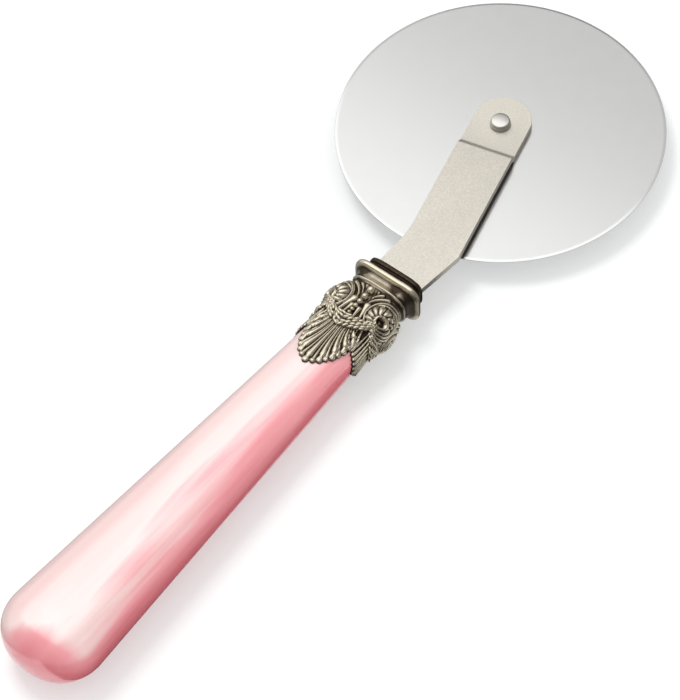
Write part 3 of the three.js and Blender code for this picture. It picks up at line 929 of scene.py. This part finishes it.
def make_handle(resin):
    """The handle's skin: squared ovals that widen along the taper and close over the butt."""
    rings = 121
    sides = 128
    start = 25.0
    sizes = bpy.context.scene.cutter_handle
    start_width, start_height = handle_halves(start)
    add, size, end = new_shape_tree("oval_handle", [
        "Start", "Belly", "Butt Round", "Start Width", "Start Height", "Butt Width", "Butt Height",
        "Squareness", "Oval Power"])
    grid = add(
        "GeometryNodeMeshGrid",
        {"Size X": 1.0, "Size Y": 1.0, "Vertices X": rings, "Vertices Y": sides + 1})
    spot = add("ShaderNodeSeparateXYZ", {0: add("GeometryNodeInputPosition")})
    share = add("ShaderNodeMath", {0: spot.outputs["X"], 1: 0.5}, operation="ADD")
    taper = add("ShaderNodeMath", {0: share, 1: 2.0}, operation="MULTIPLY", use_clamp=True)
    butt = add("ShaderNodeMath", {0: share, 1: 2.0, 2: -1.0}, operation="MULTIPLY_ADD", use_clamp=True)
    quarter = add("ShaderNodeMath", {0: butt, 1: math.pi / 2}, operation="MULTIPLY")
    reach = add("ShaderNodeMath", {0: quarter}, operation="SINE")
    raised = add("ShaderNodeMath", {0: reach, 1: size["Squareness"]}, operation="POWER")
    left = add("ShaderNodeMath", {0: 1.0, 1: raised}, operation="SUBTRACT", use_clamp=True)
    root = add("ShaderNodeMath", {0: 1.0, 1: size["Squareness"]}, operation="DIVIDE")
    shrink = add("ShaderNodeMath", {0: left, 1: root}, operation="POWER")
    opening = add("ShaderNodeMath", {0: share, 1: rings - 1.0}, operation="MULTIPLY", use_clamp=True)
    grow = add("ShaderNodeMath", {0: shrink, 1: opening}, operation="MULTIPLY")
    straight = add(
        "ShaderNodeMapRange", {"Value": taper, "To Min": size["Start"], "To Max": size["Belly"]})
    along = add("ShaderNodeMath", {0: reach, 1: size["Butt Round"], 2: straight}, operation="MULTIPLY_ADD")
    forward = add("ShaderNodeMath", {0: FRONT, 1: along}, operation="SUBTRACT")
    turn = add("ShaderNodeMath", {0: spot.outputs["Y"], 1: 2 * math.pi}, operation="MULTIPLY")
    places = {"X": forward}
    for axis, wave, first, last, middle in (
            ("Y", "COSINE", "Start Width", "Butt Width", AXIS_Y),
            ("Z", "SINE", "Start Height", "Butt Height", AXIS_Z)):
        wide = add("ShaderNodeMapRange", {"Value": taper, "To Min": size[first], "To Max": size[last]})
        sized = add("ShaderNodeMath", {0: wide, 1: grow}, operation="MULTIPLY")
        swing = add("ShaderNodeMath", {0: turn}, operation=wave)
        plain = add("ShaderNodeMath", {0: swing}, operation="ABSOLUTE")
        squared = add("ShaderNodeMath", {0: plain, 1: size["Oval Power"]}, operation="POWER")
        sign = add("ShaderNodeMath", {0: swing}, operation="SIGN")
        signed = add("ShaderNodeMath", {0: squared, 1: sign}, operation="MULTIPLY")
        places[axis] = add("ShaderNodeMath", {0: signed, 1: sized, 2: middle}, operation="MULTIPLY_ADD")
    position = add("ShaderNodeCombineXYZ", places)
    skin = add("GeometryNodeSetPosition", {"Geometry": grid, "Position": position})
    closed = add("GeometryNodeMergeByDistance", {"Geometry": skin, "Distance": SEAM_GAP})
    end_shape_tree(add, end, closed, resin)
    piece = piece_from_tree("pearl_handle", end, {
        "Start": start * MM,
        "Belly": HANDLE_REACH * MM - sizes.butt_round,
        "Butt Round": sizes.butt_round,
        "Start Width": start_width * MM,
        "Start Height": start_height * MM,
        "Butt Width": sizes.butt_width / 2,
        "Butt Height": sizes.butt_height / 2,
        "Squareness": sizes.butt_squareness,
        "Oval Power": OVAL_POWER,
    })
    tidy_normals(piece)
    return piece


class CUTTER_OT_handle(Operator):
    """Build the pearl resin handle"""

    bl_idname = "cutter.handle"
    bl_label = "Handle"

    def execute(self, context):
        piece = make_handle(pearl_resin())
        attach(piece, "cutter")
        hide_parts("handle")
        frame["nodes"]["tang_cement"].data.materials.clear()
        frame["nodes"]["tang_cement"].data.materials.append(set_resin())
        return {"FINISHED"}


class CUTTER_OT_arm(Operator):
    """Build the cranked arm with its tumbled edges"""

    bl_idname = "cutter.arm"
    bl_label = "Arm"

    def execute(self, context):
        flat_angle = math.radians(0.5)
        edge_angle = math.radians(15)
        work = bmesh.new()
        work.from_mesh(frame["nodes"]["wheel_arm"].data)
        bmesh.ops.remove_doubles(work, verts=work.verts, dist=SEAM_GAP)
        bmesh.ops.dissolve_limit(work, angle_limit=flat_angle, verts=work.verts, edges=work.edges)
        work.verts.index_update()
        faces = [[vert.index for vert in face.verts] for face in work.faces]
        mesh = bpy.data.meshes.new("cranked_arm")
        mesh.from_pydata([vert.co for vert in work.verts], [], faces)
        mesh.materials.append(satin_steel())
        work.free()
        piece = piece_from_mesh("cranked_arm", mesh)
        bevel = piece.modifiers.new("Tumbled edges", "BEVEL")
        bevel.width = context.scene.cutter_steel.arm_round
        bevel.segments = 3
        bevel.limit_method = "ANGLE"
        bevel.angle_limit = edge_angle
        bevel.harden_normals = True
        mesh.shade_smooth()
        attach(piece, "cutter")
        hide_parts("wheel_arm")
        return {"FINISHED"}


BORE = 2.2 * MM
SHANK = 2.0 * MM
RUNNING_GAP = 0.15 * MM
JOGGLE = 1.4 * MM


class CUTTER_OT_wheel(Operator):
    """Build the ground and polished wheel"""

    bl_idname = "cutter.wheel"
    bl_label = "Wheel"

    def execute(self, context):
        sizes = context.scene.cutter_steel
        corner = 0.05 * MM
        shoulder = 0.15 * MM
        rim = (wheel_high.x - wheel_low.x) / 2
        edge_high = wheel_high.z - sizes.top_bevel_drop
        edge_low = edge_high - sizes.edge_thickness
        profile = rounded_profile(
            [(BORE, wheel_low.z), (rim - sizes.bevel_width, wheel_low.z), (rim, edge_low), (rim, edge_high),
             (rim - sizes.top_bevel_width, wheel_high.z), (BORE, wheel_high.z)],
            [corner, shoulder, corner, corner, shoulder, corner])
        piece = lathe("ground_wheel", profile, sides=256)
        piece.data.materials.append(polished_steel())
        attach(piece, "wheel")
        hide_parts("cutting_wheel")
        return {"FINISHED"}


def rivet_profile():
    """Radius and height round the rivet: rear head, shank, button head and its low crown."""
    head_radius = 2.9 * MM
    crown_radius = 2.5 * MM
    crown_drop = 0.3 * MM
    crown_curve = 2.5
    brow_radius = 2.55 * MM
    brow_drop = 0.32 * MM
    rear_taper = 0.1 * MM
    head_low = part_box("wheel_arm")[1].z - JOGGLE + RUNNING_GAP
    rear_top = washer_low.z - RUNNING_GAP
    rear = (rivet_high.x - rivet_low.x) / 2
    crown = [
        (crown_radius * share, rivet_high.z - crown_drop * share ** crown_curve)
        for share in (0.85, 0.65, 0.4, 0.2)
    ]
    foot = (head_radius, head_low)
    brow = (brow_radius, rivet_high.z - brow_drop)
    rear_corner = (rear - rear_taper, rivet_low.z)
    profile = [(0.0, rivet_low.z)]
    profile += round_corner(profile[0], rear_corner, (rear, rear_top), radius=0.5 * MM)
    profile += [(rear, rear_top), (SHANK, rear_top), (SHANK, head_low)]
    profile += round_corner(profile[-1], foot, brow, radius=0.12 * MM)
    profile += round_corner(foot, brow, crown[0], radius=0.3 * MM)
    return profile + crown[1:] + [(0.0, rivet_high.z)]


class CUTTER_OT_rivet(Operator):
    """Build the rivet that the wheel turns on, and the washer behind the wheel"""

    bl_idname = "cutter.rivet"
    bl_label = "Rivet"

    def execute(self, context):
        sides = 96
        corner = 0.08 * MM
        rivet = lathe("button_rivet", rivet_profile(), sides)
        rivet.data.materials.append(rivet_steel())
        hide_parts("axle_rivet")
        rim = (washer_high.x - washer_low.x) / 2
        corners = [(BORE, washer_low.z), (rim, washer_low.z), (rim, washer_high.z), (BORE, washer_high.z)]
        washer = lathe("rear_washer", rounded_profile(corners, [corner] * len(corners)), sides)
        washer.data.materials.append(washer_steel())
        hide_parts("back_washer")
        for piece in (rivet, washer):
            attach(piece, "cutter")
        return {"FINISHED"}


# Materials


def per_size(*sizes):
    """Scale of a pattern whose marks have these sizes in millimetres."""
    return tuple(1 / (size * MM) for size in sizes)


def pearl_resin():
    """Cast and polished acrylic resin with pearl flakes, drawn into long clouds along the handle.

    It is painted pale on top and on the left, as a painted highlight, and pink to deep pink on the right
    flank and the butt, as painted shade, with a slightly darker painted shade along the upper left flank;
    all under a clear gloss.
    """
    cloud, streak = (85, 15, 15), (45, 2.8, 2.8)
    cloud_strength, cloud_level = 0.36, 0.457
    butt_streaks, body_streaks, streak_fade = 0.02, 0.13, 22 * MM
    butt_painted_shade, butt_shade_reach = -0.17, 11 * MM
    rise = 9.0
    deep_stop, pink_stop, pale_stop, upper_flank_shade_stop = 0.5, 0.6, 0.67, 0.78
    colours = bpy.context.scene.cutter_handle
    material, add, shader = new_material("pearl_resin")
    place = add("ShaderNodeTexCoord").outputs["Object"]
    length = add("ShaderNodeSeparateXYZ", {0: place}).outputs["X"]
    patterns = []
    for sizes, roughness, distortion in ((cloud, 0.45, 0.6), (streak, 0.5, 0.4)):
        drawn = add("ShaderNodeMapping", {0: place, "Scale": per_size(*sizes)})
        patterns.append(add(
            "ShaderNodeTexNoise",
            {"Vector": drawn, "Scale": 1.0, "Detail": 2.0, "Roughness": roughness,
             "Distortion": distortion}))
    clouds, streaks = patterns
    soft = add("ShaderNodeMath", {0: clouds, 1: cloud_strength, 2: cloud_level}, operation="MULTIPLY_ADD")
    calm = add(
        "ShaderNodeMapRange",
        {"Value": length, "From Min": handle_low.x, "From Max": handle_low.x + streak_fade,
         "To Min": butt_streaks, "To Max": body_streaks})
    strength = add("ShaderNodeMath", {0: streaks, 1: -0.5}, operation="ADD")
    blend = add("ShaderNodeMath", {0: strength, 1: calm, 2: soft}, operation="MULTIPLY_ADD")
    # Painted shade: the colour deepens over the last part towards the butt, where the highlight on top ends.
    painted_butt_shade = add(
        "ShaderNodeMapRange",
        {"Value": length, "From Min": handle_low.x, "From Max": handle_low.x + butt_shade_reach,
         "To Min": butt_painted_shade, "To Max": 0.0}, interpolation_type="SMOOTHSTEP")
    clouds_and_butt_shade = add("ShaderNodeMath", {0: painted_butt_shade, 1: blend}, operation="ADD")
    # Painted light and shade: the colour is paler the higher and further left a point lies, scaled to the
    # handle's taper, standing in for the highlight on top and the shade on the right flank.
    painted_top_light = add("ShaderNodeVectorMath", {0: place, 1: (0, rise, rise)}, operation="DOT_PRODUCT")
    taper = add(
        "ShaderNodeMapRange",
        {"Value": length, "From Min": handle_low.x + colours.butt_round,
         "From Max": FRONT - bpy.context.scene.cutter_bolster.leaf_tip,
         "To Min": 1.0, "To Max": colours.front_width / colours.butt_width})
    level = add("ShaderNodeMath", {0: painted_top_light.outputs["Value"], 1: taper}, operation="DIVIDE")
    clouds_and_painted_light = add("ShaderNodeMath", {0: level, 1: clouds_and_butt_shade}, operation="ADD")
    ramp = add("ShaderNodeValToRGB", {0: clouds_and_painted_light})
    stops = ramp.color_ramp.elements
    stops[0].position = deep_stop
    stops[0].color = (*colours.pearl_deep_and_shade, 1)
    stops[1].position = pale_stop
    stops[1].color = (*colours.pearl_pale_and_highlight, 1)
    stops.new(pink_stop).color = (*colours.pearl_pink, 1)
    # Painted shade: the palest places, on the upper left flank, turn a little darker again.
    stops.new(upper_flank_shade_stop).color = (*to_linear("EFCAC7"), 1)
    fill_inputs(shader, {
        "Base Color": ramp, "Roughness": 0.25, "IOR": 1.9, "Coat Weight": 1.0, "Coat Roughness": 0.14})
    return material


def antique_metal():
    """Cast white brass, darkened with patina in its hollows and with painted shade round the collar, and
    rubbed bright on its high places.
    """
    mottle_size = 1.2
    mottle_strength = 0.3
    bright_stop, patina_stop = 0.1, 0.75
    bright_roughness, patina_roughness = 0.26, 0.5
    colours = bpy.context.scene.cutter_bolster
    material, add, shader = new_material("antique_white_brass")
    # The attribute holds the patina and the collar's painted shade; both take the patina colour.
    depth = add("ShaderNodeAttribute", attribute_name="patina_and_shade").outputs["Fac"]
    place = add("ShaderNodeTexCoord").outputs["Object"]
    mottle = add("ShaderNodeTexNoise", {"Vector": place, "Scale": per_size(mottle_size)[0], "Detail": 4.0})
    worn = add(
        "ShaderNodeMath", {0: mottle, 1: mottle_strength, 2: -mottle_strength / 2},
        operation="MULTIPLY_ADD")
    patchy = add("ShaderNodeMath", {0: depth, 1: worn}, operation="ADD", use_clamp=True)
    ramp = add("ShaderNodeValToRGB", {0: patchy})
    for stop, position, colour in zip(
            ramp.color_ramp.elements, (bright_stop, patina_stop), (colours.bright, colours.patina)):
        stop.position = position
        stop.color = (*colour, 1)
    dull = add(
        "ShaderNodeMapRange", {"Value": patchy, "To Min": bright_roughness, "To Max": patina_roughness})
    fill_inputs(shader, {"Base Color": ramp, "Roughness": dull, "Metallic": 1.0})
    return material


def steel(name, colour, roughness, grain, depth, fleck=0.0):
    """Steel whose grain, of a size and depth in millimetres, breaks its gloss and flecks its colour."""
    spread = 0.1
    stops = (0.35, 0.65)
    material, add, shader = new_material(name)
    place = add("ShaderNodeTexCoord").outputs["Object"]
    grit = add("ShaderNodeTexNoise", {"Vector": place, "Scale": per_size(grain)[0], "Detail": 2.0})
    gloss = add(
        "ShaderNodeMapRange",
        {"Value": grit, "To Min": roughness * (1 - spread), "To Max": roughness * (1 + spread)})
    rough = add("ShaderNodeBump", {"Height": grit, "Strength": 1.0, "Distance": depth * MM})
    flecks = add("ShaderNodeValToRGB", {0: grit})
    for stop, position, share in zip(flecks.color_ramp.elements, stops, (1 - fleck, 1 + fleck)):
        stop.position = position
        stop.color = (*(part * share for part in colour), 1)
    fill_inputs(shader, {
        "Base Color": flecks, "Roughness": gloss, "Normal": rough, "Metallic": 1.0})
    return material


def satin_steel():
    """Glass-blasted steel strap: an even, slightly warm grey with a fine sparkle.

    The blast's own grain, about 0.1 mm, is too fine to show, so it is drawn at 0.4 mm.
    """
    colour = bpy.context.scene.cutter_steel.satin
    return steel("blasted_steel", colour, roughness=0.5, grain=0.4, depth=0.03, fleck=0.09)


def polished_steel():
    """Cold-rolled steel blade, buffed to a mirror with a faint haze."""
    colour = bpy.context.scene.cutter_steel.polished
    return steel("buffed_steel", colour, roughness=0.2, grain=4.0, depth=0.0)


def rivet_steel():
    """Bright drawn steel of the rivet, with a peened head that takes a soft shine."""
    return steel("drawn_steel", to_linear("BDBBB5"), roughness=0.3, grain=1.0, depth=0.01)


def washer_steel():
    """Plain stamped steel washer, grey and a little dull."""
    return steel("stamped_steel", to_linear("C9C9C6"), roughness=0.35, grain=0.8, depth=0.01)


def set_resin():
    """Hard resin cement that beds the tang: matt, cream and slightly gritty."""
    grit_size = 1.5
    material, add, shader = new_material("resin_cement")
    place = add("ShaderNodeTexCoord").outputs["Object"]
    grit = add("ShaderNodeTexNoise", {"Vector": place, "Scale": per_size(grit_size)[0], "Detail": 3.0})
    ramp = add("ShaderNodeValToRGB", {0: grit})
    for stop, colour in zip(ramp.color_ramp.elements, ("C4BCA4", "DDD6C2")):
        stop.color = (*to_linear(colour), 1)
    fill_inputs(shader, {"Base Color": ramp, "Roughness": 0.7})
    return material


# Stage


def seen_directly(add):
    """1 for rays from the camera and for mirror and glass rays, else 0."""
    path = add("ShaderNodeLightPath").outputs
    first = add(
        "ShaderNodeMath", {0: path["Is Camera Ray"], 1: path["Is Glossy Ray"]}, operation="MAXIMUM")
    return add("ShaderNodeMath", {0: first, 1: path["Is Transmission Ray"]}, operation="MAXIMUM")


def floor_paper():
    """Pale paper sweep: matt, and lifted to white where it is seen, so that only shadow darkens it."""
    lift = 0.33
    material, add, shader = new_material("pale_paper")
    glow = add("ShaderNodeMath", {0: seen_directly(add), 1: lift}, operation="MULTIPLY")
    fill_inputs(shader, {
        "Base Color": (*to_linear("D8DADA"), 1), "Roughness": 0.9, "Emission Color": (1, 1, 1, 1),
        "Emission Strength": glow})
    return material


def studio_card(colour):
    """Matt card of one grey, as flags and reflectors are cut from."""
    material, _, shader = new_material("studio_card")
    fill_inputs(shader, {"Base Color": (*to_linear(colour), 1), "Roughness": 0.9})
    return material


def white_world():
    """Air that lights the cutter evenly, and is plain white where it is seen or mirrored."""
    light = 0.7
    world = bpy.data.worlds.new("studio")
    world.use_nodes = True
    tree = world.node_tree
    add = partial(add_node, tree)
    strength = add("ShaderNodeMapRange", {"Value": seen_directly(add), "To Min": light, "To Max": 1.0})
    fill_inputs(tree.nodes["Background"], {"Color": (1, 1, 1, 1), "Strength": strength})
    return world


def add_softbox(name, place, size, power, gloss=True, matt=True, shadow=True):
    """A soft lamp that can leave out gloss, matt surfaces or shadow.

    One that gloss mirrors hangs level, and one that it doesn't faces the cutter.
    """
    lamp = bpy.data.lights.new(name, "AREA")
    lamp.shape = "RECTANGLE"
    lamp.size, lamp.size_y = size
    lamp.energy = power
    lamp.use_shadow = shadow
    box = bpy.data.objects.new(name, lamp)
    box.location = place
    if not gloss:
        box.rotation_euler = Vector(place).to_track_quat("Z", "Y").to_euler()
    box.visible_glossy = gloss
    box.visible_diffuse = matt
    bpy.context.scene.collection.objects.link(box)


def add_sheet(name, material, corners):
    """A flat sheet of the stage with four corners."""
    mesh = bpy.data.meshes.new(name)
    mesh.from_pydata(corners, [], [(0, 1, 2, 3)])
    mesh.materials.append(material)
    sheet = piece_from_mesh(name, mesh)
    return sheet


def add_flag(name, colour, corners):
    """A card that only gloss reflects: it keeps the flanks deep and the ornament crisp."""
    flag = add_sheet(name, studio_card(colour), corners)
    flag.visible_camera = False
    flag.visible_diffuse = False
    flag.visible_shadow = False


def add_flags():
    """Cards that stand round the cutter and lie on the floor beside it."""
    black, grey, pale = "1A1A1A", "B0B0B0", "B8B8B8"
    near, far, left, right = -0.55, 1.3, -0.75, 1.2
    rear_far = 0.8
    foot, knee, brow, top = 0.02, 0.3, 0.8, 1.3
    for name, colour, start, end, low, high in (
            ("side_flag", grey, (left, near), (right, near), foot, top),
            ("front_low_flag", black, (right, near), (right, far), foot, knee),
            ("front_flag", pale, (right, near), (right, far), knee, brow),
            ("rear_flag", pale, (left, rear_far), (left, near), foot, top)):
        add_flag(name, colour, [(*start, low), (*end, low), (*end, high), (*start, high)])
    level = 0.5 * MM
    beside = AXIS_Y - 12.5 * MM
    beneath = AXIS_Y - 6 * MM
    beyond = AXIS_Y + 19.5 * MM
    leaf_end, flare = -0.001, 0.25
    strip_rear, strip_front, strip_rear_flare, strip_front_flare = 0.018, 0.03, 0.28, 0.31
    for name, colour, corners in (
            ("near_floor_flag", black, ((left, near), (flare, near), (leaf_end, beside), (left, beside))),
            ("front_floor_flag", black, (
                (strip_rear_flare, near), (strip_front_flare, near), (strip_front, beneath),
                (strip_rear, beneath))),
            ("far_floor_flag", "A8A8A8", ((left, beyond), (right, beyond), (right, far), (left, far)))):
        add_flag(name, colour, [(*corner, level) for corner in corners])


def add_camera(settings):
    """The camera at the photographed angle."""
    flat = math.cos(settings.elevation)
    back = Vector((
        math.sin(settings.azimuth) * flat, -math.cos(settings.azimuth) * flat, math.sin(settings.elevation)))
    data = bpy.data.cameras.new("camera")
    data.lens = settings.lens
    data.sensor_width = 36
    data.clip_start = 0.05
    camera = bpy.data.objects.new("camera", data)
    camera.location = Vector(settings.aim) + back * settings.distance
    camera.rotation_mode = "QUATERNION"
    roll = Quaternion((0, 0, 1), settings.roll)
    camera.rotation_quaternion = back.to_track_quat("Z", "Y") @ roll
    bpy.context.scene.collection.objects.link(camera)
    bpy.context.scene.camera = camera


class CUTTER_OT_stage(Operator):
    """Set up the camera, the white sweep and the soft light"""

    bl_idname = "cutter.stage"
    bl_label = "Stage"

    def execute(self, context):
        scene = context.scene
        scene.view_settings.view_transform = "Standard"
        add_camera(scene.cutter_stage)
        reach = 3.0
        corners = [(-reach, -reach, 0), (reach, -reach, 0), (reach, reach, 0), (-reach, reach, 0)]
        add_sheet("floor", floor_paper(), corners)
        scene.world = white_world()
        add_softbox("overhead_softbox", (0.065, 0.55, 1.0), size=(1.25, 1.55), power=6.3, matt=False)
        add_softbox("key_lamp", (0.1, 0.45, 1.0), size=(0.42, 0.42), power=4.7, gloss=False)
        add_softbox(
            "fill_lamp", (-0.3, -0.9, 0.45), size=(0.9, 0.9), power=2.85, gloss=False, shadow=False)
        add_flags()
        return {"FINISHED"}


class CUTTER_PT_build(Panel):
    """Lists the steps that build the cutter"""

    bl_label = "Pizza cutter"
    bl_space_type = "VIEW_3D"
    bl_region_type = "UI"
    bl_category = "Cutter"

    def draw(self, context):
        for step in STEPS:
            self.layout.operator(step.bl_idname)


GROUPS = {
    "cutter_handle": HandleSizes,
    "cutter_bolster": BolsterSizes,
    "cutter_steel": SteelSizes,
    "cutter_stage": StageSettings,
}
STEPS = (
    CUTTER_OT_stage, CUTTER_OT_handle, CUTTER_OT_bolster, CUTTER_OT_arm, CUTTER_OT_wheel, CUTTER_OT_rivet)


def register():
    """Adds the sizes, the steps and the panel."""
    for name, group in GROUPS.items():
        bpy.utils.register_class(group)
        setattr(bpy.types.Scene, name, PointerProperty(type=group))
    for step in STEPS:
        bpy.utils.register_class(step)
    bpy.utils.register_class(CUTTER_PT_build)


def unregister():
    """Takes the panel, the steps and the sizes away again."""
    bpy.utils.unregister_class(CUTTER_PT_build)
    for step in reversed(STEPS):
        bpy.utils.unregister_class(step)
    for name, group in GROUPS.items():
        delattr(bpy.types.Scene, name)
        bpy.utils.unregister_class(group)


def main():
    """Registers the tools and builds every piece."""
    register()
    bpy.ops.cutter.stage()
    bpy.ops.cutter.handle()
    bpy.ops.cutter.bolster()
    bpy.ops.cutter.arm()
    bpy.ops.cutter.wheel()
    bpy.ops.cutter.rivet()


if __name__ == "__main__":
    main()
